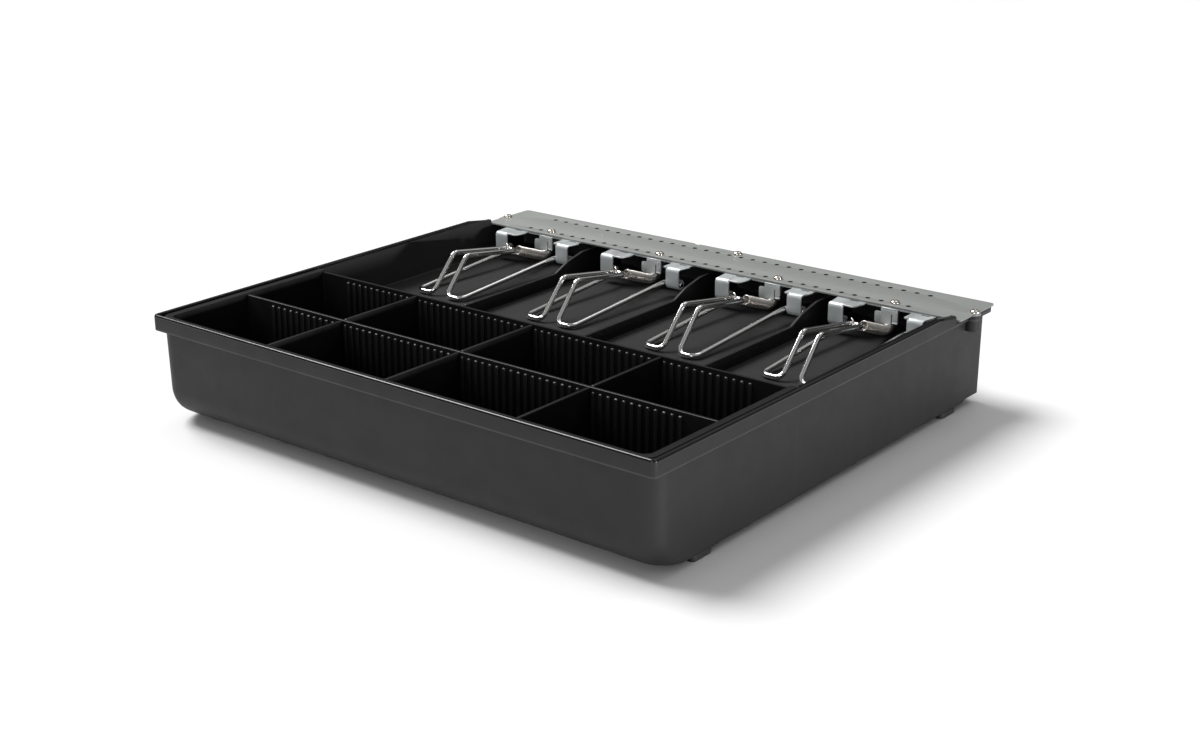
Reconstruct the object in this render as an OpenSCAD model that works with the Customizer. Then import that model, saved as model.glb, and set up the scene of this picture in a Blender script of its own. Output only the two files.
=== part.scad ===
// Cash drawer insert: a moulded tray with a lift-out coin tray at the front and
// four note bays at the back, each with a sprung wire clip under a steel plate.
// Millimetres, +Z up, front at -Y, origin under the middle of the insert on its feet.

/* [Tray] */
// Width over the rim
rim_w = 370; // [366:1:374]
// Depth from the front rim to the back edge of the clip plate
depth = 337.2; // [336.5:0.1:338]
// Height from the feet to the rim
height = 67; // [66.5:0.5:68]
// Height of the rubber feet
foot_h = 3.9; // [3.5:0.1:4.2]
// Overhang of the rim skirt past the walls
overhang = 1.5; // [1:0.1:2]
// Height of the rim skirt
skirt_h = 9.8; // [8:0.1:12]
// Wall thickness of the tray
wall = 2.5; // [2.3:0.1:2.7]
// Radius of the front edge at the bottom
front_r = 18; // [17:0.5:19]
// Depth of the note floor under the rim
note_floor = 26.7; // [26.7:0.1:27]

/* [Coin tray] */
// Spacing of the dividers across the tray
bay_pitch = 93; // [92:0.5:94]
// Rib slots in one divider spacing
slots_per_bay = 18; // [17:1:18]
// Width of one rib
rib_w = 2.6; // [2.3:0.1:2.6]
// How far a rib stands out of its wall
rib_d = 1.3; // [1:0.1:1.5]
// Thickness of a divider plate
divider_t = 2; // [1.8:0.1:2.1]
// Depth of the divider tops under the rim
divider_top = 2.2; // [2:0.1:3]

/* [Clip plate] */
// Thickness of the plate
plate_t = 1.2; // [1:0.1:1.2]
// Depth of the plate's top under the rim
plate_top = 5.5; // [5.4:0.1:5.6]
// Spacing of the holes along the plate
hole_pitch = 9.36; // [9.3:0.02:9.4]
// Holes on each side of the middle hole
hole_side = 16; // [16:1:17]
// Radius of a plate hole
hole_r = 1.6; // [1.55:0.05:1.7]

/* [Note clips] */
// Radius of the clip wire
wire_r = 1.65; // [1.5:0.05:1.65]
// Inside radius of the bracket's rolled knuckles
bore_r = 2.1; // [1.9:0.05:2.1]
// Thickness of the bracket's sheet
sheet_t = 1.2; // [1.1:0.1:1.2]
// Mean radius of the spring's coil
coil_r = 2.95; // [2.9:0.05:3]
// Radius of the spring's wire
coil_wire_r = 0.4; // [0.35:0.05:0.4]
// Turns of the spring's straight stretch
coil_turns = 26; // [20:1:28]

/* [Hidden] */
$fn = 48;
e = 0.01;
hw = rim_w / 2;                       // half width over the rim
ow = hw - overhang;                   // half width over the walls
iw = ow - wall;                       // half width inside
front = overhang;                     // outer face of the front wall
back = 329.8;                         // outer face of the back wall
back_r = 0.8;                         // corner radius at the back
bottom = -(height - foot_h);          // underside of the tray
corner_y = front + front_r;           // centre of the front bottom radius
corner_z = bottom + front_r;
rin = front_r - wall;                 // inside of the front bottom radius
well_back = 129.5;                    // back of the coin well
coin_gap = 0.4;                       // play of the coin tray in the well
ct_w = 177.6;                         // half width of the coin tray's outside
ct_t = 1.6;                           // wall of the coin tray
ct_front = front + wall + coin_gap;   // front face of the coin tray
ct_r = rin - coin_gap;                // front bottom radius of the coin tray
ct_ri = ct_r - ct_t;                  // and its inside
ct_floor = corner_z - ct_ri;          // floor inside the coin tray
mid_y = 66;                           // middle of the long wall between the rows
ct_back = 129;                        // back face of the coin tray
wall_t = 1.8;                         // thickness of its back wall
rib_pitch = bay_pitch / slots_per_bay;
rib_n = floor(158 / rib_pitch);       // ribs on each side of the middle
rib_top = -4.5;
note_x = [-bay_pitch, rib_pitch, bay_pitch];  // note dividers, the middle one a slot off
plate_z = -plate_top - plate_t;       // underside of the plate
plate_front = 294.5;
row_front = 300.5;
row_back = 327.5;
end_screw = [[-183.5, 312.9], [186.4, 312.5]];  // end screws of the plate
boss_x = 185.2;                       // bosses under them
boss_y = 312.3;
foot_w = 16.4;                        // side of a square foot
foot_x = 173.8;                       // feet, under the front of the well and near the back
foot_y = [44.4, 295.8];
hole_mid = -1.2;                      // middle hole of both rows
back_x = 2.3;                         // screw at the back of the plate
back_y = 332;
screw_dx = 3.5;                       // a bracket's screw from its middle
knuckle_r = bore_r + sheet_t;
pivot_y = 282.5 + knuckle_r;
pivot_z = -17.9;
screw_k = [-14, -4, 6, 15];           // holes that the bracket screws use
clip_x = [for (k = screw_k) hole_mid + k * hole_pitch - screw_dx];
tray_black = [0.17, 0.17, 0.175];
deep_black = [0.07, 0.07, 0.075];
paint_grey = [0.55, 0.56, 0.57];
plated = [0.66, 0.69, 0.72];
bright = [0.83, 0.84, 0.85];

// Everything below is drawn from the front edge of the rim, at the rim's top.
module datum() { translate([0, -depth / 2, height]) children(); }
module box(x0, x1, y0, y1, z0, z1) { translate([x0, y0, z0]) cube([x1 - x0, y1 - y0, z1 - z0]); }
module rod_x(x0, x1, y, z, r) { translate([x0, y, z]) rotate([0, 90, 0]) cylinder(h = x1 - x0, r = r); }

// Plan outline with its own corner radii at the front and at the back
module plan(w, y0, y1, rf, rb) {
    translate([-w, y0 + rf]) square([2 * w, y1 - rb - y0 - rf]);
    translate([-w + rf, y0]) square([2 * (w - rf), rf + e]);
    translate([-w + rb, y1 - rb - e]) square([2 * (w - rb), rb + e]);
    for (s = [-1, 1]) {
        translate([s * (w - rf), y0 + rf]) circle(r = rf);
        translate([s * (w - rb), y1 - rb]) circle(r = rb);
    }
}
module slab(w, y0, y1, rf, rb, z0, z1) { translate([0, 0, z0]) linear_extrude(z1 - z0) plan(w, y0, y1, rf, rb); }

// Side profile, drawn in Y and Z, pushed out across the width
module across(x0, x1) { translate([x0, 0, 0]) rotate([90, 0, 90]) linear_extrude(x1 - x0) children(); }

// Block with a rounded front bottom edge of radius r about the shared centre
module scoop(w, y1, z1, r) {
    rod_x(-w, w, corner_y, corner_z, r);
    box(-w, w, corner_y, y1, corner_z - r, z1);
    box(-w, w, corner_y - r, y1, corner_z, z1);
}

// ---- tray ----
module tray_outside() {
    intersection() {
        slab(ow, front, back, 13, back_r, bottom, 0);
        scoop(ow + 5, back + 5, 5, front_r);
    }
    slab(hw, 0, back, 3, back_r, -skirt_h, 0);
    slab(186.3, back - 11, 334.5, 1, 1, -10.4, plate_z);
    for (s = [-1, 1])
        translate([s * boss_x, boss_y, -16.3]) cylinder(h = 16.3 + plate_z, r = 4.6);
    translate([back_x, back_y - 0.8, -16]) cylinder(h = 16 + plate_z, r = 3.6);
}

module tray_body() {
    color(tray_black) datum() {
        difference() {
            tray_outside();
            // coin well and the rebate that its lip hangs in
            intersection() {
                slab(iw, front + wall, well_back, 10.5, 0.5, bottom, 5);
                scoop(iw + 5, well_back + 5, 5, rin);
            }
            slab(hw - 2.7, 2.2, well_back, 3.5, 0.5, -3.3, 5);
            // note bays
            slab(iw, well_back - 1, back - wall, 0.5, back_r, -note_floor, 5);
            for (x = note_x)
                box(x - divider_t / 2 - 0.1, x + divider_t / 2 + 0.1, well_back + 1, back - wall, -note_floor - 1, 0);
            // hollow under the note floor
            slab(iw, well_back + wall, back - wall, 0.5, back_r, bottom - 5, -note_floor - wall);
            // bottom edge, a little higher behind the coin well and again at the back
            across(-200, 200) polygon([[126, bottom - 5], [400, bottom - 5], [400, bottom + 1.8], [314.5, bottom + 1.8], [312, bottom + 0.6], [126, bottom + 0.6]]);
            for (s = [-1, 1])
                box(s * (ow + 2) - 2.3, s * (ow + 2) + 2.3, 126, 303, bottom - 5, -skirt_h - 0.5);
            // rim falling to the plate at the back
            across(-250, 250) polygon([[272, 0], [290, -2.8], [292.5, -2.8], [293.2, plate_z], [400, plate_z], [400, 20], [272, 20]]);
            for (q = end_screw)
                translate([q[0], q[1], -15]) cylinder(h = 20, r = 1.3);
            translate([back_x, back_y, -15]) cylinder(h = 20, r = 1.3);
        }
        // stiffening ribs under the note floor
        for (x = [-1, 0, 1] * bay_pitch)
            box(x - 0.8, x + 0.8, well_back + wall - e, back - wall + e, -note_floor - wall - 8, -note_floor - wall + e);
        box(-iw - e, iw + e, 229.2, 230.8, -note_floor - wall - 8, -note_floor - wall + e);
        // pillars for the back feet
        for (s = [-1, 1])
            box(s * (foot_x + 0.1) - 7.9, s * (foot_x + 0.1) + 7.9, foot_y[1] - 7.9, foot_y[1] + 7.9, bottom, -note_floor - wall + e);
    }
}

// ---- coin tray ----
// Row of ribs along a wall, as a comb; dir is the way they stand out of the face at y
module ribs(y, dir) {
    for (k = [-rib_n : rib_n - 1])
        translate([(k + 0.5) * rib_pitch - rib_w / 2, dir > 0 ? y - e : y - rib_d, ct_floor - e])
            cube([rib_w, rib_d + e, rib_top - ct_floor + e]);
}

module coin_tray() {
    color(deep_black) datum() difference() {
        union() {
            difference() {
                union() {
                    intersection() {
                        slab(ct_w, ct_front, ct_back, 7, 1, bottom, -1);
                        scoop(ct_w + 5, ct_back + 5, 5, ct_r);
                    }
                    slab(180.6, 3.2, ct_back, 3, 1, -3, -1);
                }
                intersection() {
                    slab(ct_w - ct_t, ct_front + ct_t, ct_back - wall_t, 5.4, 0.5, bottom, 5);
                    scoop(ct_w + 5, ct_back + 5, 5, ct_ri);
                }
            }
            box(-ct_w + 0.5, ct_w - 0.5, mid_y - 1, mid_y + 1, ct_floor - 0.5, -divider_top);
            intersection() {
                ribs(ct_front + ct_t, 1);
                scoop(ct_w, ct_back, 5, ct_ri + 0.5);
            }
            ribs(mid_y - 1, -1);
            ribs(mid_y + 1, 1);
            ribs(ct_back - wall_t, -1);
        }
        // the back wall is a little lower than the lip
        box(-ct_w + ct_t, ct_w - ct_t, ct_back - 6, ct_back + 2, -divider_top, 5);
    }
}

// Divider plates; the front row follows the rounded front of the tray
module divider_front(x) {
    g = 0.3;
    across(x - divider_t / 2, x + divider_t / 2) {
        translate([corner_y, corner_z]) circle(r = ct_ri - g);
        translate([ct_front + ct_t + g, corner_z]) square([mid_y - 1 - g - ct_front - ct_t - g, -divider_top - corner_z]);
        translate([corner_y, ct_floor + g]) square([mid_y - 1 - g - corner_y, -divider_top - ct_floor - g]);
    }
}
module divider_back(x) {
    g = 0.3;
    across(x - divider_t / 2, x + divider_t / 2)
        translate([mid_y + 1 + g, ct_floor + g]) square([ct_back - wall_t - g - mid_y - 1 - g, -divider_top - ct_floor - g]);
}
module coin_divider(i) {
    x = [-1, 0, 1][i % 3] * bay_pitch;
    color(deep_black) datum() { if (i < 3) divider_front(x); else divider_back(x); }
}

// ---- note dividers ----
module note_divider(i) {
    x = note_x[i];
    f = -note_floor - 1;
    color(deep_black) datum() across(x - divider_t / 2, x + divider_t / 2)
        polygon([[131, f], [back - wall - 0.3, f], [back - wall - 0.3, -9.4], [286, -9.4],
                 [270, -13], [257, -18.6], [131, -18.6]]);
}

// ---- plate ----
module clip_plate() {
    color(paint_grey) datum() translate([0, 0, plate_z]) linear_extrude(plate_t) difference() {
        union() {
            translate([0.5, 0]) plan(186.3, plate_front, depth, 1.5, 2);
            translate([-184, 312.6]) circle(r = 3.8);
            translate([185.6, 312.6]) circle(r = 4.2);
        }
        for (k = [-hole_side : hole_side]) {
            translate([hole_mid + k * hole_pitch, row_front]) circle(r = hole_r);
            translate([hole_mid + k * hole_pitch, row_back]) circle(r = hole_r);
        }
        translate([back_x, back_y]) circle(r = hole_r);
        for (q = end_screw) translate(q) circle(r = hole_r);
        translate([-36, depth - 1.4]) square([4, 5]);
    }
}

// ---- brackets ----
bend_r = 3;
module arm(x0, x1) {
    zt = plate_z;
    box(x0, x1, 282.5 + bend_r - e, 296, zt - sheet_t, zt);
    difference() {
        rod_x(x0, x1, 282.5 + bend_r, zt - bend_r, bend_r);
        rod_x(x0 - 1, x1 + 1, 282.5 + bend_r, zt - bend_r, bend_r - sheet_t);
        box(x0 - 1, x1 + 1, 282.5 + bend_r, 300, -40, 5);
        box(x0 - 1, x1 + 1, 270, 300, -40, zt - bend_r);
    }
    difference() {
        union() {
            box(x0, x1, 282.5, 282.5 + sheet_t, pivot_z, zt - bend_r + e);
            rod_x(x0, x1, pivot_y, pivot_z, knuckle_r);
        }
        rod_x(x0 - 1, x1 + 1, pivot_y, pivot_z, bore_r);
    }
}
module clip_bracket(i) {
    c = clip_x[i];
    zb = plate_z - sheet_t;
    color(plated) datum() difference() {
        union() {
            arm(c - 32.3, c - 22);
            arm(c + 22, c + 32.3);
            translate([0, 0, zb]) linear_extrude(sheet_t)
                polygon([[c - 33, 312], [c - 33, 294], [c - 31, 285.6], [c - 22, 285.6], [c - 22, 282.9], [c - 15.8, 282.9], [c - 14.2, 284.6],
                         [c - 12.3, 294], [c + 18.4, 294], [c + 19.5, 290.5], [c + 19.5, 283.2], [c + 22, 283.2], [c + 22, 285.6],
                         [c + 33, 285.6], [c + 35, 294], [c + 35, 312]]);
            box(c - 2.3, c + 9.3, 294, 294 + sheet_t, -17.5, zb + e);
            box(c - 6.5, c - 2.3 + e, 294, 294 + sheet_t, -18, -10.2);
        }
        // slot beside the tab's narrow strip, open at the bottom
        box(c + 4.9, c + 5.7, 290, 298, -20, -10.8);
        box(c + 5.7 - e, c + 10, 290, 298, -20, -16.6);
        translate([c + screw_dx, row_front, -20]) cylinder(h = 30, r = 1.5);
        box(c - 23.6, c - 17.8, 293, 294, -10, -5);
        box(c + 25.8, c + 31.6, 292.4, 293.4, -10, -5);
    }
}
// ---- wire with rounded corners, from straight bars and bends ----
function unit(v) = v / norm(v);
// Straight round bar between two points
module bar(a, b, r) {
    v = b - a;
    translate(a) rotate([0, acos(v[2] / norm(v)), atan2(v[1], v[0])]) cylinder(h = norm(v), r = r);
}
// How far before the corner b its bend of radius r starts
function lead(a, b, c, r) = r / tan(acos(unit(a - b) * unit(c - b)) / 2);
// Bend of radius r at the corner b, let a hair into the bars on both sides
module bend(a, b, c, r, wr) {
    u = unit(a - b);
    v = unit(c - b);
    th = acos(u * v);
    o = b + unit(u + v) * (r / sin(th / 2));
    ex = unit(b + u * lead(a, b, c, r) - o);
    ez = unit(cross(v, u));
    ey = cross(ez, ex);
    d = 0.06 / r * 180 / PI;
    multmatrix([[ex[0], ey[0], ez[0], o[0]], [ex[1], ey[1], ez[1], o[1]], [ex[2], ey[2], ez[2], o[2]], [0, 0, 0, 1]])
        rotate([0, 0, -d]) rotate_extrude(angle = 180 - th + 2 * d) translate([r, 0]) circle(r = wr - 0.01);
}
module wire(p, r, wr) {
    n = len(p);
    for (i = [0 : n - 2]) {
        d = unit(p[i + 1] - p[i]);
        a = i == 0 ? 0 : lead(p[i - 1], p[i], p[i + 1], r[i - 1]);
        b = i == n - 2 ? 0 : lead(p[i], p[i + 1], p[i + 2], r[i]);
        bar(p[i] + d * a, p[i + 1] - d * b, wr);
    }
    for (i = [1 : n - 2]) bend(p[i - 1], p[i], p[i + 1], r[i - 1], wr);
}

// One clip: from its pin in one knuckle to the toe, up to the knee, back to the loop and the same way round again
loop_y = 262;
loop_z = -10;
toe_y = 190.5;
toe_z = -24.7;
knee_y = 211.5;
knee_z = -1.9;
clip_line = [[33.2, pivot_y, pivot_z], [19.4, pivot_y, pivot_z], [18.7, toe_y, toe_z], [6.8, toe_y, toe_z], [6.2, knee_y, knee_z], [4.8, loop_y, loop_z],
             [-4.4, loop_y, loop_z], [-4.9, knee_y, knee_z], [-5.1, toe_y, toe_z], [-18.7, toe_y, toe_z], [-19.4, pivot_y, pivot_z], [-33.2, pivot_y, pivot_z]];
module note_clip(i) {
    color(bright) datum() translate([clip_x[i], 0, 0]) wire(clip_line, [2.5, 5, 4.5, 5, 4.2, 4.2, 5, 4.5, 5, 2.5], wire_r);
}

// ---- springs: from the clip's loop, down under the bracket's tab and up behind it ----
spring_x = 2;                         // off the middle of the clip
coil_start = [266.8, -11.5];          // the coil's front end, its bend under the tab and its back end
coil_bend = [296, -22.1];
coil_end = [306, -12.5];
coil_out = coil_r + coil_wire_r;
coil_l = norm(coil_bend - coil_start);
coil_dip = atan2(coil_start[1] - coil_bend[1], coil_bend[0] - coil_start[0]);
coil_step = coil_l * 0.85 / coil_turns;
coil_profile = concat(
    [[0, 0]],
    [for (k = [0 : coil_turns - 1]) each [[coil_out, k * coil_step], [coil_r + coil_wire_r * 0.5, (k + 0.5) * coil_step]]],
    [[coil_out, coil_turns * coil_step], [coil_out, coil_l], [0, coil_l]]);
module clip_spring(i) {
    color(bright) datum() translate([clip_x[i] + spring_x, 0, 0]) {
        bar([0, 268.15, -9.55], [-0.8, 260.8, -6.9], coil_wire_r);
        translate([0, coil_start[0], coil_start[1]]) rotate([-90 - coil_dip, 0, 0]) rotate_extrude() polygon(coil_profile);
        translate([0, coil_bend[0], coil_bend[1]]) sphere(r = coil_out + 0.1);
        bar([0, coil_bend[0], coil_bend[1]], [0, coil_end[0], coil_end[1]], coil_out);
    }
}

// ---- screws and feet ----
module screw(shank_r, shank_l) {
    difference() {
        rotate_extrude() polygon([[0, -shank_l], [shank_r, -shank_l], [shank_r, 0], [3, 0], [3, 0.9], [2.3, 1.8], [1.2, 2.1], [0, 2.1]]);
        box(-1.7, 1.7, -0.35, 0.35, 0.9, 4);
        box(-0.35, 0.35, -1.7, 1.7, 0.9, 4);
    }
}
module bracket_screws() {
    color(bright) datum() for (c = clip_x) translate([c + screw_dx, row_front, -plate_top]) screw(1.45, 6);
}
module plate_end_screws() {
    color(bright) datum() for (q = end_screw) translate([q[0], q[1], -plate_top]) screw(1.25, 9);
}
module plate_back_screw() {
    color(bright) datum() translate([back_x, back_y, -plate_top]) screw(1.25, 8.5);
}
module rubber_feet() {
    color([0.06, 0.06, 0.06]) datum() for (x = [-foot_x, foot_x], y = foot_y) translate([x, y, -height]) {
        linear_extrude(0.6 + e) plan(foot_w / 2 - 0.5, 0.5 - foot_w / 2, foot_w / 2 - 0.5, 2, 2);
        translate([0, 0, 0.6]) linear_extrude(foot_h - 0.6) plan(foot_w / 2, -foot_w / 2, foot_w / 2, 2.5, 2.5);
    }
}

tray_body();
coin_tray();
coin_divider(0);  // coin_divider_1
coin_divider(1);  // coin_divider_2
coin_divider(2);  // coin_divider_3
coin_divider(3);  // coin_divider_4
coin_divider(4);  // coin_divider_5
coin_divider(5);  // coin_divider_6
note_divider(0);  // note_divider_1
note_divider(1);  // note_divider_2
note_divider(2);  // note_divider_3
clip_plate();
clip_bracket(0);  // clip_bracket_1
clip_bracket(1);  // clip_bracket_2
clip_bracket(2);  // clip_bracket_3
clip_bracket(3);  // clip_bracket_4
note_clip(0);  // note_clip_1
note_clip(1);  // note_clip_2
note_clip(2);  // note_clip_3
note_clip(3);  // note_clip_4
clip_spring(0);  // clip_spring_1
clip_spring(1);  // clip_spring_2
clip_spring(2);  // clip_spring_3
clip_spring(3);  // clip_spring_4
bracket_screws();
plate_end_screws();
plate_back_screw();
rubber_feet();
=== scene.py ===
import math

import bmesh
import bpy
from mathutils import Matrix, Vector


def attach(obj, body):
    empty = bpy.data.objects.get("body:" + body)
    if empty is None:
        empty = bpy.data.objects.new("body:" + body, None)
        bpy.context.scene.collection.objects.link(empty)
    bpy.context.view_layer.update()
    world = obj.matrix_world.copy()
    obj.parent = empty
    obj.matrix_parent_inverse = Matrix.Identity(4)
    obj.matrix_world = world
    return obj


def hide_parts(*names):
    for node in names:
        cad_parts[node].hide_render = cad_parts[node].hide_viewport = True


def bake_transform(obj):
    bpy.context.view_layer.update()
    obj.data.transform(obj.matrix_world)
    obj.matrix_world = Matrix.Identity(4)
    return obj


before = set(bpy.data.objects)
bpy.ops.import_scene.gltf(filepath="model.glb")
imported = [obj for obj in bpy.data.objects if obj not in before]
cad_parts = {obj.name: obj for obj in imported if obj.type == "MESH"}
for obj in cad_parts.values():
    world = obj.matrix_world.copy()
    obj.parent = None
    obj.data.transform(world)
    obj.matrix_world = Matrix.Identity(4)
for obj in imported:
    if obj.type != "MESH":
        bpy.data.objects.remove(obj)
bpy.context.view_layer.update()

# Everything below is drawn in millimetres from the front rim edge (y = 0) and the rim's top (z = 0),
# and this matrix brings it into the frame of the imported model, in metres.
ROW = Matrix.Translation((0, -0.1686, 0.067)) @ Matrix.Scale(0.001, 4)
scene = bpy.context.scene
sin, cos, pi, radians = math.sin, math.cos, math.pi, math.radians


# ---------------------------------------------------------------- mesh helpers

def make(name, verts, faces):
    me = bpy.data.meshes.new(name)
    me.from_pydata([tuple(v) for v in verts], [], faces)
    bm = bmesh.new()
    bm.from_mesh(me)
    bmesh.ops.remove_doubles(bm, verts=bm.verts, dist=1e-4)
    bmesh.ops.dissolve_degenerate(bm, edges=bm.edges, dist=1e-5)
    bmesh.ops.recalc_face_normals(bm, faces=bm.faces)
    bm.to_mesh(me)
    bm.free()
    ob = bpy.data.objects.new(name, me)
    scene.collection.objects.link(ob)
    return ob


def bake(ob):
    me = bpy.data.meshes.new_from_object(ob.evaluated_get(bpy.context.evaluated_depsgraph_get()))
    old = ob.data
    ob.modifiers.clear()
    ob.data = me
    bpy.data.meshes.remove(old)
    return ob


def drop(ob):
    me = ob.data
    bpy.data.objects.remove(ob)
    if me.users == 0:
        bpy.data.meshes.remove(me)


def boolean(ob, others, op):
    for other in others:
        m = ob.modifiers.new("b", "BOOLEAN")
        m.operation = op
        m.solver = "EXACT"
        m.object = other
    bake(ob)
    for other in others:
        drop(other)
    return ob


def join(name, obs):
    verts, faces = [], []
    for ob in obs:
        k = len(verts)
        verts += [v.co.copy() for v in ob.data.vertices]
        faces += [tuple(i + k for i in f.vertices) for f in ob.data.polygons]
        drop(ob)
    me = bpy.data.meshes.new(name)
    me.from_pydata(verts, [], faces)
    ob = bpy.data.objects.new(name, me)
    scene.collection.objects.link(ob)
    return ob


def bevel(ob, width, segments=2, angle=40):
    m = ob.modifiers.new("v", "BEVEL")
    m.width = width
    m.segments = segments
    m.limit_method = "ANGLE"
    m.angle_limit = radians(angle)
    m.miter_outer = "MITER_ARC"
    m.harden_normals = False
    return bake(ob)


def ring(w, y0, y1, rf, rb, z, n=10, stops=(), drop_to=None, back_in=0.0):
    """Closed outline of a box seen from above, symmetric in x, with front and back corner radii.
    stops are extra points (y, inset) along the sides; drop_to(y) lowers a point; back_in insets the back corner."""
    right = []
    for i in range(n + 1):
        a = radians(-90 + 90 * i / n)
        right.append((w - rf + rf * cos(a), y0 + rf + rf * sin(a)))
    right += [(w - d, y) for y, d in stops]
    for i in range(n + 1):
        a = radians(90 * i / n)
        right.append((w - back_in - rb + rb * cos(a), y1 - rb + rb * sin(a)))
    pts = right + [(-x, y) for x, y in reversed(right)]
    return [(x, y, z + (drop_to(y) if drop_to else 0)) for x, y in pts]


def loft(name, rings):
    """Closed skin through rings made by ring(): the ends are closed with strips from side to side."""
    n = len(rings[0])
    verts = [p for r in rings for p in r]
    faces = []
    for i in range(len(rings) - 1):
        for j in range(n):
            k = (j + 1) % n
            faces.append((i * n + j, i * n + k, (i + 1) * n + k, (i + 1) * n + j))
    for base in (0, (len(rings) - 1) * n):
        for j in range(n // 2 - 1):
            faces.append((base + j, base + j + 1, base + n - 2 - j, base + n - 1 - j))
    return make(name, verts, faces)


def stack(name, rings):
    """Closed skin through rings of points, with plain end faces."""
    n = len(rings[0])
    verts = [p for r in rings for p in r]
    faces = []
    for i in range(len(rings) - 1):
        for j in range(n):
            k = (j + 1) % n
            faces.append((i * n + j, i * n + k, (i + 1) * n + k, (i + 1) * n + j))
    faces.append(tuple(range(n)))
    faces.append(tuple(range((len(rings) - 1) * n, len(rings) * n)))
    return make(name, verts, faces)


def block(name, x0, x1, y0, y1, z0, z1):
    v = [(x, y, z) for z in (z0, z1) for x, y in ((x0, y0), (x1, y0), (x1, y1), (x0, y1))]
    return stack(name, [v[:4], v[4:]])


def rounded(points, radii, n=5):
    """Outline with its corners rounded. A radius of 0 keeps a corner."""
    out = []
    m = len(points)
    for i in range(m):
        b = Vector(points[i])
        r = radii[i] if isinstance(radii, (list, tuple)) else radii
        if r <= 0:
            out.append(b)
            continue
        u = (Vector(points[i - 1]) - b).normalized()
        v = (Vector(points[(i + 1) % m]) - b).normalized()
        th = u.angle(v)
        d = r / math.tan(th / 2)
        o = b + (u + v).normalized() * (r / sin(th / 2))
        p, q = b + u * d - o, b + v * d - o
        sweep = pi - th
        for k in range(n + 1):
            t = k / n
            out.append(o + (p * sin((1 - t) * sweep) + q * sin(t * sweep)) / sin(sweep))
    return out


def offset(poly, d):
    """Outline moved inwards by d, corner by corner. The outline runs anticlockwise."""
    out = []
    m = len(poly)
    for i in range(m):
        a, b, c = Vector(poly[i - 1]), Vector(poly[i]), Vector(poly[(i + 1) % m])
        u, v = (b - a).normalized(), (c - b).normalized()
        nu, nv = Vector((-u.y, u.x)), Vector((-v.y, v.x))
        k = (nu + nv)
        k = k / max(k.dot(nu), 0.3)
        out.append(b + k * d)
    return out


def area2(poly):
    return sum(poly[i - 1][0] * poly[i][1] - poly[i][0] * poly[i - 1][1] for i in range(len(poly)))


def prism(name, poly, t0, t1, place, edge=0.2, steps=2):
    """Outline swept from t0 to t1 with its edges rounded by edge. place(u, v, t) gives the point."""
    poly = [Vector(p[:2]) for p in poly]
    if area2(poly) < 0:
        poly.reverse()
    levels = [(t0 + edge * (1 - cos(pi / 2 * i / steps)), edge * (1 - sin(pi / 2 * i / steps))) for i in range(steps + 1)]
    levels += [(t0 + t1 - t, d) for t, d in reversed(levels)]
    return stack(name, [[place(p.x, p.y, t) for p in offset(poly, d)] for t, d in levels])


def along_x(u, v, t):
    return (t, u, v)


def along_y(u, v, t):
    return (u, t, v)


def along_z(u, v, t):
    return (u, v, t)


def sheet_strip(name, line, x0, x1, t=1.2, edge=0.22):
    """Bent sheet: line gives (y, z) points of its middle plane, x0 and x1 its sides, each a number or a
    function of the point's share of the length. Its section is a rectangle with small rounded corners."""
    pts = [Vector(p) for p in line]
    run = [0.0]
    for a, b in zip(pts, pts[1:]):
        run.append(run[-1] + (b - a).length)
    rings = []
    for i, p in enumerate(pts):
        d = (pts[min(i + 1, len(pts) - 1)] - pts[max(i - 1, 0)]).normalized()
        nrm = Vector((-d.y, d.x))
        s = run[i] / run[-1]
        a = x0(s) if callable(x0) else x0
        b = x1(s) if callable(x1) else x1
        h, e = t / 2, edge
        sec = []
        for cx_, cn, a0 in ((b - e, h - e, 0), (a + e, h - e, 90), (a + e, -h + e, 180), (b - e, -h + e, 270)):
            for k in range(3):
                an = radians(a0 + 45 * k)
                sec.append((cx_ + e * cos(an), cn + e * sin(an)))
        rings.append([(x, p.x + nrm.x * m, p.y + nrm.y * m) for x, m in sec])
    return stack(name, rings)


def arc_pts(cy, cz, r, a0, a1, n):
    return [(cy + r * cos(radians(a0 + (a1 - a0) * i / n)), cz + r * sin(radians(a0 + (a1 - a0) * i / n))) for i in range(n + 1)]


def fillet_line(points, radii, n=10):
    """Open line in space with its inner corners rounded."""
    out = [Vector(points[0])]
    for i in range(1, len(points) - 1):
        a, b, c = Vector(points[i - 1]), Vector(points[i]), Vector(points[i + 1])
        r = radii[i - 1]
        u, v = (a - b).normalized(), (c - b).normalized()
        th = u.angle(v)
        d = r / math.tan(th / 2)
        o = b + (u + v).normalized() * (r / sin(th / 2))
        p, q = b + u * d - o, b + v * d - o
        sweep = pi - th
        for k in range(n + 1):
            t = k / n
            out.append(o + (p * sin((1 - t) * sweep) + q * sin(t * sweep)) / sin(sweep))
    out.append(Vector(points[-1]))
    return out


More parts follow.
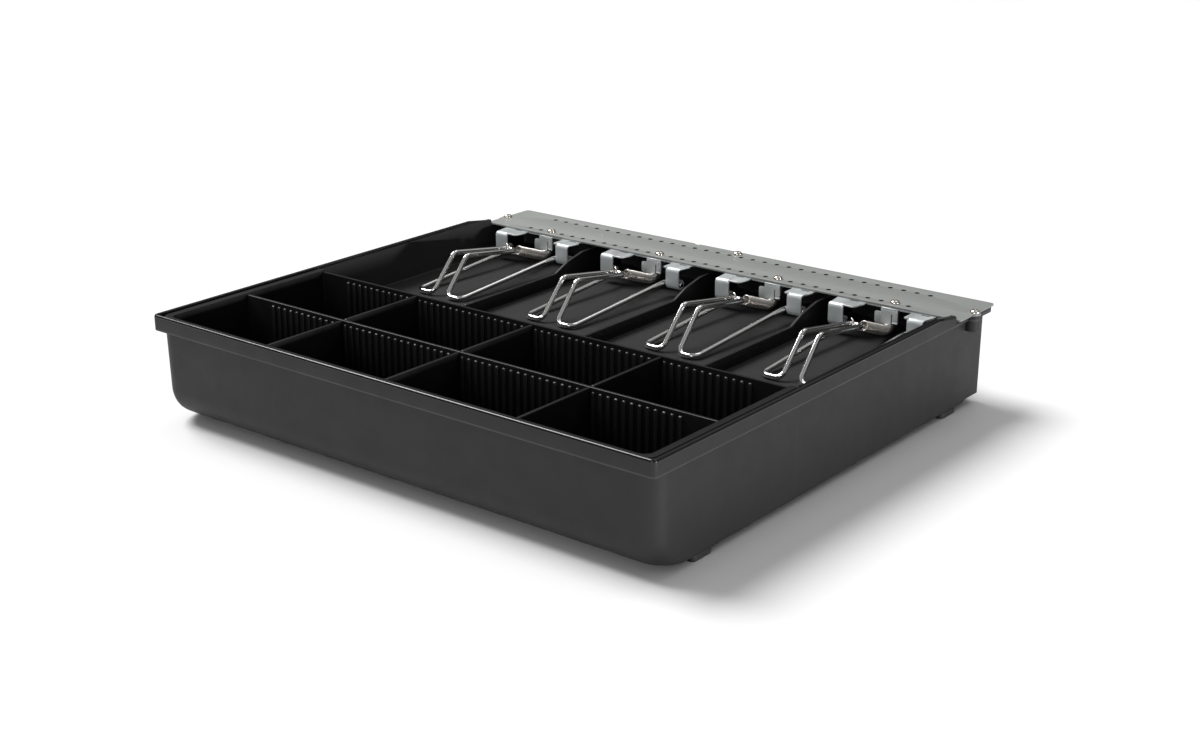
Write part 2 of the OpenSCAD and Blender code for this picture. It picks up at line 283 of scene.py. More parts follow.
def tube(name, line, r, sides=16, round_end=0.35):
    """Round wire along a line of points, with its cut ends rounded off."""
    pts = [Vector(p) for p in line]
    keep = [pts[0]]
    for p in pts[1:]:
        if (p - keep[-1]).length > 1e-4:
            keep.append(p)
    pts = keep
    tang = []
    for i in range(len(pts)):
        tang.append((pts[min(i + 1, len(pts) - 1)] - pts[max(i - 1, 0)]).normalized())
    side = tang[0].orthogonal().normalized()
    rings = []
    for i, p in enumerate(pts):
        if i:
            q = tang[i - 1].rotation_difference(tang[i])
            side = q @ side
            side = (side - tang[i] * side.dot(tang[i])).normalized()
        up = tang[i].cross(side)

        def loop(o, rr, side=side, up=up):
            return [o + side * (rr * cos(2 * pi * k / sides)) + up * (rr * sin(2 * pi * k / sides)) for k in range(sides)]
        e = round_end * r
        if i == 0:
            rings.append(loop(p, r - e))
            rings.append(loop(p + tang[0] * e * 0.3, r - e * 0.3))
            rings.append(loop(p + tang[0] * e, r))
        elif i == len(pts) - 1:
            rings.append(loop(p - tang[-1] * e, r))
            rings.append(loop(p - tang[-1] * e * 0.3, r - e * 0.3))
            rings.append(loop(p, r - e))
        else:
            rings.append(loop(p, r))
    return stack(name, rings)


def lathe(name, profile, at, sides=32):
    """Profile of (radius, z) points turned about a vertical axis, closed at both ends."""
    rings = []
    for r, z in profile:
        rings.append([(at[0] + r * cos(2 * pi * k / sides), at[1] + r * sin(2 * pi * k / sides), z) for k in range(sides)])
    return stack(name, rings)


# ---------------------------------------------------------------- materials

def new_mat(name):
    m = bpy.data.materials.new(name)
    m.use_nodes = True
    nt = m.node_tree
    return m, nt, nt.nodes["Principled BSDF"]


def node(nt, kind, **values):
    n = nt.nodes.new(kind)
    for k, v in values.items():
        if hasattr(n, k):
            setattr(n, k, v)
        else:
            n.inputs[k].default_value = v
    return n


def coords(nt, scale=(1, 1, 1)):
    t = nt.nodes.new("ShaderNodeTexCoord")
    m = nt.nodes.new("ShaderNodeMapping")
    m.inputs["Scale"].default_value = scale
    nt.links.new(t.outputs["Object"], m.inputs["Vector"])
    return m.outputs["Vector"]


def noise(nt, vec, scale, detail=2.0, rough=0.5):
    n = nt.nodes.new("ShaderNodeTexNoise")
    n.inputs["Scale"].default_value = scale
    n.inputs["Detail"].default_value = detail
    n.inputs["Roughness"].default_value = rough
    nt.links.new(vec, n.inputs["Vector"])
    return n.outputs["Fac"]


def ramp(nt, fac, stops):
    r = nt.nodes.new("ShaderNodeValToRGB")
    el = r.color_ramp.elements
    el[0].position, el[0].color = stops[0][0], (*stops[0][1], 1)
    el[1].position, el[1].color = stops[-1][0], (*stops[-1][1], 1)
    for pos, col in stops[1:-1]:
        e = el.new(pos)
        e.color = (*col, 1)
    nt.links.new(fac, r.inputs["Fac"])
    return r.outputs["Color"]


def span(nt, fac, a, b, lo=0.0, hi=1.0):
    m = nt.nodes.new("ShaderNodeMapRange")
    m.inputs["From Min"].default_value = lo
    m.inputs["From Max"].default_value = hi
    m.inputs["To Min"].default_value = a
    m.inputs["To Max"].default_value = b
    nt.links.new(fac, m.inputs["Value"])
    return m.outputs["Result"]


def bump(nt, fac, strength, distance):
    b = nt.nodes.new("ShaderNodeBump")
    b.inputs["Strength"].default_value = strength
    b.inputs["Distance"].default_value = distance
    nt.links.new(fac, b.inputs["Height"])
    return b.outputs["Normal"]


def add(nt, a, b, op="ADD", k=None):
    m = nt.nodes.new("ShaderNodeMath")
    m.operation = op
    nt.links.new(a, m.inputs[0])
    if k is None:
        nt.links.new(b, m.inputs[1])
    else:
        m.inputs[1].default_value = k
    return m.outputs[0]


def plastic(name, dark, light, r0, r1, grain, grain_depth, spec):
    m, nt, p = new_mat(name)
    v = coords(nt)
    broad = noise(nt, v, 24, 4, 0.6)
    fine = noise(nt, v, grain, 3, 0.6)
    shade = span(nt, broad, 0.25, 0.5, 0.3, 0.72)
    rough = span(nt, noise(nt, v, 60, 5, 0.65), r0, r1, 0.3, 0.7)
    if name == "tray_plastic_black":
        at = nt.nodes.new("ShaderNodeSeparateXYZ")
        nt.links.new(v, at.inputs["Vector"])
        # the rim's top was polished in the mould, so it is smoother; its colour is also made darker there as painted
        # shade
        rim = span(nt, at.outputs["Z"], 0.0, 1.0, 0.0653, 0.0656)
        rough = add(nt, rough, add(nt, rim, None, "MULTIPLY", 0.38), "SUBTRACT")
        # painted highlight: a pale line along the skirt's lower edge; a fainter pale line also runs down the seam on
        # each side
        side = span(nt, add(nt, at.outputs["X"], None, "ABSOLUTE", 0.0), 0.0, 1.0, 0.1840, 0.1843)
        front = span(nt, at.outputs["Y"], 1.0, 0.0, -0.1681, -0.1678)
        skirt = span(nt, add(nt, add(nt, at.outputs["Z"], None, "SUBTRACT", 0.0579), None, "ABSOLUTE", 0.0), 1.0, 0.0, 0.0003, 0.0006)
        skirt = add(nt, skirt, add(nt, side, front, "MAXIMUM"), "MULTIPLY")
        wall = span(nt, add(nt, at.outputs["X"], None, "ABSOLUTE", 0.0), 0.0, 1.0, 0.1822, 0.1825)
        below = span(nt, at.outputs["Z"], 0.45, 0.0, 0.0564, 0.0566)
        seam = span(nt, add(nt, add(nt, at.outputs["Y"], None, "ADD", 0.0426), None, "ABSOLUTE", 0.0), 1.0, 0.0, 0.0003, 0.0007)
        seam = add(nt, seam, add(nt, wall, below, "MULTIPLY"), "MULTIPLY")
        pale_lines = add(nt, add(nt, skirt, seam, "MAXIMUM"), None, "MULTIPLY", 0.5)
        shade = add(nt, add(nt, shade, add(nt, rim, None, "MULTIPLY", 0.5), "SUBTRACT"), pale_lines)
    nt.links.new(ramp(nt, shade, [(0.0, (0.004, 0.004, 0.0042)), (0.25, dark), (0.5, light), (1.0, (0.05, 0.05, 0.05))]), p.inputs["Base Color"])
    nt.links.new(rough, p.inputs["Roughness"])
    nt.links.new(bump(nt, fine, 0.35, grain_depth), p.inputs["Normal"])
    p.inputs["Specular IOR Level"].default_value = spec
    return m


tray_mat = plastic("tray_plastic_black", (0.0100, 0.0100, 0.0103), (0.0138, 0.0138, 0.0142), 0.55, 0.63, 2600, 0.00004, 0.38)
coin_mat = plastic("coin_plastic_black", (0.0045, 0.0045, 0.0047), (0.007, 0.007, 0.0073), 0.36, 0.46, 1800, 0.00002, 0.34)


def paint():
    m, nt, p = new_mat("plate_powder_coat")
    v = coords(nt)
    broad = noise(nt, v, 18, 4, 0.6)
    peel = noise(nt, v, 1100, 2, 0.5)
    speck = noise(nt, v, 3600, 1, 0.5)
    # painted shade: the walls of the punched holes, the steep faces away from the plate's own edges, are painted dark
    geo = nt.nodes.new("ShaderNodeNewGeometry")
    up = nt.nodes.new("ShaderNodeSeparateXYZ")
    nt.links.new(geo.outputs["Normal"], up.inputs["Vector"])
    flat = span(nt, add(nt, up.outputs["Z"], None, "ABSOLUTE", 0.0), 0.0, 1.0, 0.25, 0.6)
    at = nt.nodes.new("ShaderNodeSeparateXYZ")
    nt.links.new(v, at.inputs["Vector"])
    edge_y = span(nt, add(nt, add(nt, at.outputs["Y"], None, "SUBTRACT", 0.1472), None, "ABSOLUTE", 0.0), 0.0, 1.0, 0.0185, 0.0192)
    edge_x = span(nt, add(nt, at.outputs["X"], None, "ABSOLUTE", 0.0), 0.0, 1.0, 0.176, 0.178)
    keep = add(nt, add(nt, flat, edge_y, "MAXIMUM"), edge_x, "MAXIMUM")
    # painted light falloff: besides its random tone, the plate's colour darkens from its left end to its right end, as
    # if lit from the left
    tone_and_painted_falloff = add(nt, span(nt, broad, 0.84, 1.0, 0.3, 0.7), span(nt, at.outputs["X"], 1.0, 0.58, -0.19, 0.19), "MULTIPLY")
    shade = add(nt, tone_and_painted_falloff, keep, "MULTIPLY")
    nt.links.new(ramp(nt, shade, [(0.0, (0.012, 0.012, 0.012)), (0.2, (0.02, 0.02, 0.02)), (0.4, (0.205, 0.212, 0.206)), (1.0, (0.290, 0.299, 0.290))]), p.inputs["Base Color"])
    nt.links.new(span(nt, peel, 0.42, 0.56, 0.3, 0.7), p.inputs["Roughness"])
    nt.links.new(bump(nt, add(nt, peel, add(nt, speck, None, "MULTIPLY", 0.4)), 0.4, 0.00006), p.inputs["Normal"])
    return m


plate_mat = paint()


def metal(name, c0, c1, r0, r1, scale, stretch=(1, 1, 1), depth=0.00001, strength=0.15, metallic=1.0, top=None):
    m, nt, p = new_mat(name)
    v = coords(nt, stretch)
    shade = span(nt, noise(nt, v, scale, 4, 0.6), 0.3, 0.6, 0.32, 0.68)
    stops = [(0.3, c0), (0.6, c1)]
    if top:
        # painted shade: faces that look up get a darker colour than the others
        geo = nt.nodes.new("ShaderNodeNewGeometry")
        up = nt.nodes.new("ShaderNodeSeparateXYZ")
        nt.links.new(geo.outputs["Normal"], up.inputs["Vector"])
        shade = add(nt, shade, span(nt, up.outputs["Z"], 0.0, 0.4, 0.6, 0.95))
        # painted shade: the punched walls of the short slots in the arms are painted dark
        at = nt.nodes.new("ShaderNodeSeparateXYZ")
        nt.links.new(coords(nt), at.inputs["Vector"])
        deep = span(nt, add(nt, add(nt, at.outputs["Y"], None, "SUBTRACT", 0.1249), None, "ABSOLUTE", 0.0), 1.0, 0.0, 0.0009, 0.0011)
        thick = span(nt, add(nt, add(nt, at.outputs["Z"], None, "SUBTRACT", 0.0597), None, "ABSOLUTE", 0.0), 1.0, 0.0, 0.0005, 0.0007)
        steep = span(nt, add(nt, up.outputs["Z"], None, "ABSOLUTE", 0.0), 1.0, 0.0, 0.3, 0.6)
        shade = add(nt, shade, add(nt, add(nt, deep, thick, "MULTIPLY"), steep, "MULTIPLY"), "SUBTRACT")
        stops = [(0.0, (0.02, 0.02, 0.022))] + stops + [(1.0, top)]
    nt.links.new(ramp(nt, shade, stops), p.inputs["Base Color"])
    nt.links.new(span(nt, noise(nt, v, scale * 2.6, 3, 0.6), r0, r1, 0.3, 0.7), p.inputs["Roughness"])
    nt.links.new(bump(nt, noise(nt, v, scale * 9, 2, 0.5), strength, depth), p.inputs["Normal"])
    p.inputs["Metallic"].default_value = metallic
    return m


# the brackets' up-facing faces take the darker top colour as painted shade
bracket_mat = metal("bracket_zinc", (0.56, 0.595, 0.60), (0.64, 0.675, 0.68), 0.38, 0.5, 90, (1, 0.25, 1), metallic=0.4, top=(0.34, 0.36, 0.36))
chrome_mat = metal("clip_chrome_wire", (0.74, 0.73, 0.72), (0.80, 0.79, 0.78), 0.07, 0.13, 120)
spring_mat = metal("spring_nickel_wire", (0.56, 0.53, 0.49), (0.70, 0.66, 0.62), 0.27, 0.36, 200)
screw_mat = metal("screw_nickel", (0.66, 0.62, 0.56), (0.76, 0.72, 0.66), 0.14, 0.24, 300)


def rubber():
    m, nt, p = new_mat("foot_rubber_black")
    v = coords(nt)
    nt.links.new(ramp(nt, noise(nt, v, 90, 4, 0.6), [(0.3, (0.009, 0.009, 0.009)), (0.7, (0.016, 0.016, 0.016))]), p.inputs["Base Color"])
    nt.links.new(span(nt, noise(nt, v, 260, 3, 0.6), 0.62, 0.8, 0.3, 0.7), p.inputs["Roughness"])
    nt.links.new(bump(nt, noise(nt, v, 1500, 2, 0.5), 0.4, 0.00005), p.inputs["Normal"])
    return m


rubber_mat = rubber()


def finish_piece(ob, body, mat, nodes, angle=34):
    ob.data.transform(ROW)
    ob.data.shade_smooth()
    ob.data.set_sharp_from_angle(angle=radians(angle))
    ob.data.materials.clear()
    ob.data.materials.append(mat)
    if body:
        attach(ob, body)
    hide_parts(*nodes)
    return ob


# ---------------------------------------------------------------- tray

NOTE_X = (-93, 93 / 18, 93)


def rim_drop(y):
    """How far the rim lies below its front height: it slopes down in front of the plate."""
    line = ((272, 0), (290, -2.8), (292.5, -2.8), (293.2, -6.7))
    if y <= line[0][0]:
        return 0.0
    for (a, za), (b, zb) in zip(line, line[1:]):
        if y <= b:
            return za + (zb - za) * (y - a) / (b - a)
    return line[-1][1]


def fillet_in(h, r):
    return r - math.sqrt(max(r * r - (r - h) ** 2, 0)) if h < r else 0.0


def tray_shell():
    ys = (125.9, 126.25, 272, 276, 281, 286, 290, 292.5, 293.2)

    def stops(step):
        return [(y, step if y > 126 else 0) for y in ys]

    rings = []
    for th in (0, 2, 4, 6, 8.5, 11, 14, 18, 22.5, 30, 37.5, 45, 52.5, 60, 67.5, 75, 82.5, 90):
        z = -45.1 - 18 * cos(radians(th))
        y = 19.5 - 18 * sin(radians(th))
        d = fillet_in(z + 63.1, 1.2)
        g = 0.6 * (-9.8 - z) / 53.3
        rings.append(ring(183.5 - d - g, y + g, 329.8 - d, 13, 0.8, z, 10, stops(0.3), None, 0.15))
    for z, step in ((-27, 0.3), (-10.6, 0.3), (-10.3, 0), (-9.8, 0)):
        g = 0.6 * (-9.8 - z) / 53.3
        rings.append(ring(183.5 - g, 1.5 + g, 329.8, 13, 0.8, z, 10, stops(step), None, step / 2))
    for i in range(6):
        a = radians(90 * i / 5)
        d = 0.55 * (1 - sin(a))
        rings.append(ring(185 - d, d, 330.2 - d, 3 - d, 1.5 - d, -9.8 + 0.55 * (1 - cos(a)), 10, stops(0)))
    for i in range(8):
        a = radians(90 * i / 7)
        d = 1.4 * (1 - cos(a))
        rings.append(ring(185 - d, d, 330.2 - d, 3 - d, 1.6 - d, -1.4 + 1.4 * sin(a), 10, stops(0), rim_drop))
    ob = loft("tray_shell", rings)

    # ledge and bosses that carry the plate
    def post(x, y, r, z0, z1):
        return lathe("post", [(r - 0.4, z0), (r, z0 + 0.4), (r, z1)], (x, y), 24)
    ledge = loft("ledge", [ring(186.3 - d, 318 + d, 334.5 - d, 1, 1, z, 6) for z, d in ((-10.4, 0.4), (-10.0, 0), (-6.72, 0))])
    boolean(ob, [ledge], "UNION")
    boolean(ob, [join("posts", [post(185.2, 312.3, 4.6, -16.3, -6.73), post(-185.2, 312.3, 4.6, -16.3, -6.73)]), post(2.3, 331.2, 3.6, -16, -6.74)], "UNION")

    # coin well
    rings = []
    for i in range(15):
        th = radians(90 * i / 14)
        z = -45.1 - 15.5 * cos(th)
        d = fillet_in(z + 60.6, 1.0)
        rings.append(ring(181 - d, 19.5 - 15.5 * sin(th), 129.5, 10.5, 0.6, z, 10))
    rings.append(ring(181, 4, 129.5, 10.5, 0.6, 6, 10))
    well = loft("well", rings)
    rebate = loft("rebate", [ring(182.3 + d, 2.2 - d, 129.5, 3.5 + d, 0.6, z, 10)
                             for z, d in ((-3.3, 0), (-0.7, 0), (-0.42, 0.06), (-0.2, 0.2), (-0.06, 0.42), (0.02, 0.7), (4, 0.7))])
    # note bay: its top edge follows the sloping rim
    bay_stops = [(y, 0) for y in (272, 276, 281, 286, 290, 292.5, 293.2)]
    rings = []
    for z, d in ((-26.7, -1.2), (-26.58, -0.75), (-26.25, -0.35), (-25.8, -0.1), (-25.4, 0)):
        rings.append(ring(181 + d, 128.45, 327.3 + d, 0.6, 1.6 + d, z, 8, bay_stops))
    for z, d in ((-8.6, 0), (-0.6, 0), (-0.35, 0.05), (-0.16, 0.17), (-0.04, 0.36), (0.03, 0.6), (5, 0.6)):
        rings.append(ring(181 + d, 128.45, 327.3 + d, 0.6, 1.6 + d, z, 8, bay_stops, rim_drop if z > -2 else None))
    bay = loft("bay", rings)
    grooves = join("grooves", [block("g", x - 1.1, x + 1.1, 130.5, 327.1, -27.7, -20) for x in NOTE_X])
    boolean(ob, [well, rebate], "DIFFERENCE")
    boolean(ob, [bay], "DIFFERENCE")
    boolean(ob, [grooves], "DIFFERENCE")

    # open underside, with its ribs and the pillars of the back feet
    hollow = loft("hollow", [ring(181.2 + d, 131.8 - d, 327.5 + d, 4, 3, z, 8)
                             for z, d in ((-80, 0.2), (-61, 0), (-31.4, -0.6), (-30, -1.0), (-29.35, -1.6), (-29.2, -2.4))])
    boolean(ob, [hollow], "DIFFERENCE")
    steps = prism("steps", [(126, -70), (340, -70), (340, -61.3), (314.5, -61.3), (312, -62.5), (126, -62.5)], -190, 190, along_x, 0.01, 1)
    boolean(ob, [steps], "DIFFERENCE")

    def rib_x(x):
        return prism("rib", [(131, -37.2), (328.3, -37.2), (328.3, -28.6), (131, -28.6)], x - 0.8, x + 0.8, along_x, 0.25)
    ribs = [rib_x(x) for x in (-93, 0, 93)]
    cross = prism("rib", [(-181.8, -37.1), (181.8, -37.1), (181.8, -28.7), (-181.8, -28.7)], 229.2, 230.8, along_y, 0.25)
    boolean(ob, [join("ribs", ribs)], "UNION")
    boolean(ob, [cross], "UNION")
    pillars = join("pillars", [prism("pillar", rounded([(x - 7.9, 287.9), (x + 7.9, 287.9), (x + 7.9, 303.7), (x - 7.9, 303.7)], 1, 3), -63.1, -28.8, along_z, 0.3) for x in (-173.9, 173.9)])
    boolean(ob, [pillars], "UNION")
    return ob


tray = finish_piece(tray_shell(), "tray", tray_mat, ["tray_body"], 30)


# ---------------------------------------------------------------- coin tray and dividers

PITCH = 93 / 18


def coin_shell():
    rings = []
    for i in range(15):
        th = radians(90 * i / 14)
        z = -45.1 - 15.1 * cos(th)
        d = fillet_in(z + 60.2, 2.2)
        rings.append(ring(177.6 - d, 19.5 - 15.1 * sin(th), 129, 7, 0.5, z, 8))
    rings.append(ring(177.6, 4.4, 129, 7, 0.5, -3.4, 8))
    rings.append(ring(177.9, 4.1, 129, 7.2, 0.5, -3.0, 8))
    for z, d in ((-3.0, 0.35), (-2.9, 0.1), (-2.65, 0), (-1.45, 0), (-1.2, 0.08), (-1.05, 0.25), (-1.0, 0.5)):
        rings.append(ring(180.6 - d, 3.2 + d, 129, 5.2 - d, 0.5, z, 8))
    for z, d in ((-1.0, 0.9), (-1.06, 0.55), (-1.25, 0.22), (-1.6, 0.04), (-2.2, 0)):
        rings.append(ring(176 + d, 6 - d, 127.2, 5.4 + d, 0.5, z, 8))
    for i in range(15):
        th = radians(90 - 90 * i / 14)
        z = -45.1 - 13.5 * cos(th)
        d = fillet_in(z + 58.6, 1.6)
        rings.append(ring(176 - d, 19.5 - 13.5 * sin(th), 127.2, 5.4, 0.5, z, 8))
    ob = loft("coin_shell", rings)
    cut = prism("cut", [(-176.2, 122), (176.2, 122), (176.2, 135), (-176.2, 135)], -2.2, 6, along_z, 0.01)
    boolean(ob, [cut], "DIFFERENCE")
    mid = prism("mid", rounded([(65, -59.6), (67, -59.6), (67, -2.2), (65, -2.2)], [0, 0, 0.45, 0.45], 4), -176.7, 176.7, along_x, 0.01, 1)
    boolean(ob, [mid], "UNION")

    def rib(x, y, way, z0):
        """One rib on the wall face at y, standing out towards way."""
        prof = [(-1.3, -0.25), (1.3, -0.25), (1.3, 0.85), (0.85, 1.3), (-0.85, 1.3), (-1.3, 0.85)]
        rings = []
        for z, k in ((z0, 1.0), (-5.7, 1.0), (-4.95, 0.78), (-4.5, 0.3)):
            rings.append([(x + u * (1 if z < -5 else 0.86 if k > 0.5 else 0.7), y + way * (v * k if v > 0 else v), z) for u, v in prof])
        return stack("rib", rings)
    ribs = []
    for k in range(-30, 30):
        x = (k + 0.5) * PITCH
        ribs.append(rib(x, 6, 1, -51.2))
        ribs.append(rib(x, 65, -1, -58.9))
        ribs.append(rib(x, 67, 1, -58.9))
        ribs.append(rib(x, 127.2, -1, -58.9))
    boolean(ob, [join("ribs", ribs)], "UNION")
    return ob


coin_tray = finish_piece(coin_shell(), "coin_tray", coin_mat, ["coin_tray"], 30)

front_poly = [(64.7, -58.3), (64.7, -2.2), (6.3, -2.2)] + [(19.5 - 13.2 * cos(radians(a)), -45.1 - 13.2 * sin(radians(a))) for a in range(0, 91, 9)]
back_poly = [(67.3, -58.3), (126.9, -58.3), (126.9, -2.2), (67.3, -2.2)]


def soft_top(poly, z, r):
    return rounded(poly, [r if p[1] == z else 0 for p in poly], 4)


for i in range(6):
    x = (-93, 0, 93)[i % 3]
    poly = soft_top(front_poly if i < 3 else back_poly, -2.2, 0.8)
    ob = prism(f"coin_plate_{i + 1}", poly, x - 1, x + 1, along_x, 0.4, 3)
    finish_piece(ob, f"coin_divider_{i + 1}", coin_mat, [f"coin_divider_{i + 1}"])

note_poly = rounded([(131, -27.7), (327, -27.7), (327, -9.4), (286, -9.4), (270, -13), (257, -18.6), (131, -18.6)],
                    [0, 0, 0.6, 8, 8, 8, 1.2], 5)
for i, x in enumerate(NOTE_X):
    ob = prism(f"note_plate_{i + 1}", note_poly, x - 1, x + 1, along_x, 0.4, 3)
    finish_piece(ob, "tray", coin_mat, [f"note_divider_{i + 1}"])


# ---------------------------------------------------------------- plate

END_SCREWS = ((-183.5, 312.9), (186.4, 312.5))


def steel_plate():
    edge = 0.14
    cu = bpy.data.curves.new("plate", "CURVE")
    cu.dimensions = "2D"
    cu.fill_mode = "BOTH"
    cu.extrude = 0.6 - edge
    cu.bevel_depth = edge
    cu.bevel_resolution = 1
    cu.offset = -edge

    def spline(pts):
        s = cu.splines.new("POLY")
        s.points.add(len(pts) - 1)
        for p, q in zip(s.points, pts):
            p.co = (q[0], q[1], 0, 1)
        s.use_cyclic_u = True

    def hole(x, y, r=1.6, n=20):
        spline([(x + r * cos(2 * pi * k / n), y - r * sin(2 * pi * k / n)) for k in range(n)])
    def half(edge_x, ear_x, ear_y, ear_r):
        """One end of the outline, from the front to the back, with a round ear at its screw."""
        line = [(p[0], p[1]) for p in rounded([(0, 294.5), (edge_x, 294.5), (edge_x, 337.2), (0, 337.2)], [0, 1.5, 2, 0], 5)[1:-1]]
        t = math.degrees(math.acos((edge_x - ear_x) / ear_r))
        ear = [(ear_x + ear_r * cos(radians(-t + 2 * t * i / 18)), ear_y + ear_r * sin(radians(-t + 2 * t * i / 18))) for i in range(19)]
        return line[:len(line) // 2] + ear + line[len(line) // 2:]
    notch = [(-32, 337.2), (-32, 335.8), (-36, 335.8), (-36, 337.2)]
    spline(half(186.8, 185.6, 312.6, 4.2) + notch + [(-x, y) for x, y in reversed(half(185.8, 184, 312.6, 3.8))])
    for k in range(-16, 17):
        hole(-1.2 + k * 9.36, 300.5)
        hole(-1.2 + k * 9.36, 327.5)
    hole(2.3, 332)
    for x, y in END_SCREWS:
        hole(x, y)
    tmp = bpy.data.objects.new("plate_line", cu)
    scene.collection.objects.link(tmp)
    me = bpy.data.meshes.new_from_object(tmp.evaluated_get(bpy.context.evaluated_depsgraph_get()))
    bpy.data.objects.remove(tmp)
    bpy.data.curves.remove(cu)
    me.transform(Matrix.Translation((0, 0, -6.1)))
    bm = bmesh.new()
    bm.from_mesh(me)
    bmesh.ops.remove_doubles(bm, verts=bm.verts, dist=1e-4)
    bmesh.ops.recalc_face_normals(bm, faces=bm.faces)
    bm.to_mesh(me)
    bm.free()
    ob = bpy.data.objects.new("steel_plate", me)
    scene.collection.objects.link(ob)
    return ob


plate = finish_piece(steel_plate(), "tray", plate_mat, ["clip_plate"], 50)


# ---------------------------------------------------------------- brackets

CX = [-1.2 + k * 9.36 - 3.5 for k in (-14, -4, 6, 15)]
PIV = (285.8, -17.9)


def bracket(name):
    roll = arc_pts(PIV[0], PIV[1], 2.7, 180, 180 + 285, 26)

    def arm_line():
        return [(302, -7.3), (297, -7.3), (294, -7.3), (291, -7.3), (288, -7.3)] + arc_pts(285.5, -9.7, 2.4, 90, 180, 8) + [(283.1, -12), (283.1, -15)] + roll
    line = arm_line()
    run = [0.0]
    for a, b in zip(line, line[1:]):
        run.append(run[-1] + math.dist(a, b))
    total = run[-1]

    def width(table):
        """Side of the arm by distance from its back end: table of (distance, x)."""
        def f(s):
            d = s * total
            for (a, xa), (b, xb) in zip(table, table[1:]):
                if d <= b:
                    return xa + (xb - xa) * max(0, d - a) / (b - a)
            return table[-1][1]
        return f
    left = sheet_strip("arm", line, width([(0, -33), (8, -33), (16.4, -31.6), (18, -32.3), (60, -32.3)]), -22)
    right = sheet_strip("arm", line, 22, width([(0, 35), (8, 35), (16.4, 33), (19, 32.3), (60, 32.3)]))
    lug_l = prism("lug", rounded([(-22.6, 296), (-22.6, 282.9), (-15.8, 282.9), (-14.2, 284.6), (-12.3, 294), (-12.3, 296)], [0, 0, 1.2, 2, 0, 0], 4), -7.88, -6.72, along_z, 0.45, 3)
    lug_r = prism("lug", rounded([(22.6, 296), (18.4, 296), (18.4, 294), (19.5, 290.5), (19.5, 283.2), (22.6, 283.2)], [0, 0, 0, 1, 0.8, 0], 3), -7.88, -6.72, along_z, 0.3, 2)
    base = prism("base", [(-33, 312), (-33, 294.8), (35, 294.8), (35, 312)], -7.86, -6.74, along_z, 0.2, 2)
    arms = boolean(left, [lug_l], "UNION")
    boolean(right, [lug_r], "UNION")
    slot_l = block("slot", -23.6, -17.8, 293, 294, -9, -6)
    slot_r = block("slot", 25.8, 31.6, 292.4, 293.4, -9, -6)
    boolean(left, [slot_l], "DIFFERENCE")
    boolean(right, [slot_r], "DIFFERENCE")

    # tab: bent down from the sheet, with a slot and a narrow strip whose end curls forward
    tab = sheet_strip("tab", [(300, -7.3), (297.5, -7.3)] + arc_pts(295.9, -8.6, 1.3, 90, 180, 6) + [(294.6, -9.6), (294.6, -10.6), (294.6, -17.5)], -2.3, 9.3)
    lobe = prism("lobe", rounded([(-1.5, -10.3), (-1.5, -17.2), (-2.3, -17.9), (-6.5, -18), (-6.5, -10.3)], [0, 0, 0, 1.4, 1.2], 4), 294.0, 295.2, along_y, 0.22, 2)
    boolean(tab, [lobe], "UNION")
    boolean(tab, [block("slot", 4.9, 5.7, 290, 298, -20, -10.8)], "DIFFERENCE")
    boolean(tab, [block("slot", 5.5, 12, 290, 298, -20, -14.6)], "DIFFERENCE")
    curl = sheet_strip("curl", [(294.6, -14.4), (294.6, -15.0)] + arc_pts(292.4, -15.0, 2.2, 0, -40, 6), 5.7, 9.3)
    return join(name, [arms, right, base, tab, curl])


for i, c in enumerate(CX):
    ob = bracket(f"bracket_{i + 1}")
    ob.data.transform(Matrix.Translation((c, 0, 0)))
    finish_piece(ob, "tray", bracket_mat, [f"clip_bracket_{i + 1}"], 40)


# ---------------------------------------------------------------- wire clips and springs

TOE, KNEE, LOOP = (190.5, -24.7), (211.5, -1.9), (262, -10)
FULL = [(33.0, *PIV), (19.4, *PIV), (18.7, *TOE), (6.8, *TOE), (6.2, *KNEE), (4.8, *LOOP),
        (-4.4, *LOOP), (-4.9, *KNEE), (-5.1, *TOE), (-18.7, *TOE), (-19.4, *PIV), (-33.0, *PIV)]
BENDS = [2.5, 5, 4.5, 5, 4.2, 4.2, 5, 4.5, 5, 2.5]
for i, c in enumerate(CX):
    ob = tube(f"wire_clip_{i + 1}", [(x + c, y, z) for x, y, z in fillet_line(FULL, BENDS, 10)], 1.65, 20)
    finish_piece(ob, f"note_clip_{i + 1}", chrome_mat, [f"note_clip_{i + 1}"], 60)

COIL_A = Vector((0, 266.8, -11.5))
COIL_B = Vector((0, 296, -22.1))
COIL_C = Vector((0, 306, -12.5))


def spring_line():
    """Middle line of the coil: from the clip's loop, in a bend under the tab, up behind it."""
    return fillet_line([COIL_A, COIL_B, COIL_C], [9], 24)


def coil(pts, r, pitch, per_turn=18):
    run = [0.0]
    for a, b in zip(pts, pts[1:]):
        run.append(run[-1] + (b - a).length)
    n = int(run[-1] / pitch * per_turn)
    out = []
    k = 0
    for j in range(n + 1):
        s = run[-1] * j / n
        while k < len(run) - 2 and run[k + 1] < s:
            k += 1
        f = (s - run[k]) / (run[k + 1] - run[k])
        p = pts[k].lerp(pts[k + 1], f)
        t0 = (pts[min(k + 1, len(pts) - 1)] - pts[max(k - 1, 0)]).normalized()
        t1 = (pts[min(k + 2, len(pts) - 1)] - pts[k]).normalized()
        d = t0.lerp(t1, f).normalized()
        side = Vector((1, 0, 0))
        up = d.cross(side).normalized()
        if up.z < 0:
            up = -up
        a = 2 * pi * s / pitch - pi / 2
        out.append(p + side * (r * cos(a)) + up * (r * sin(a)))
    return out


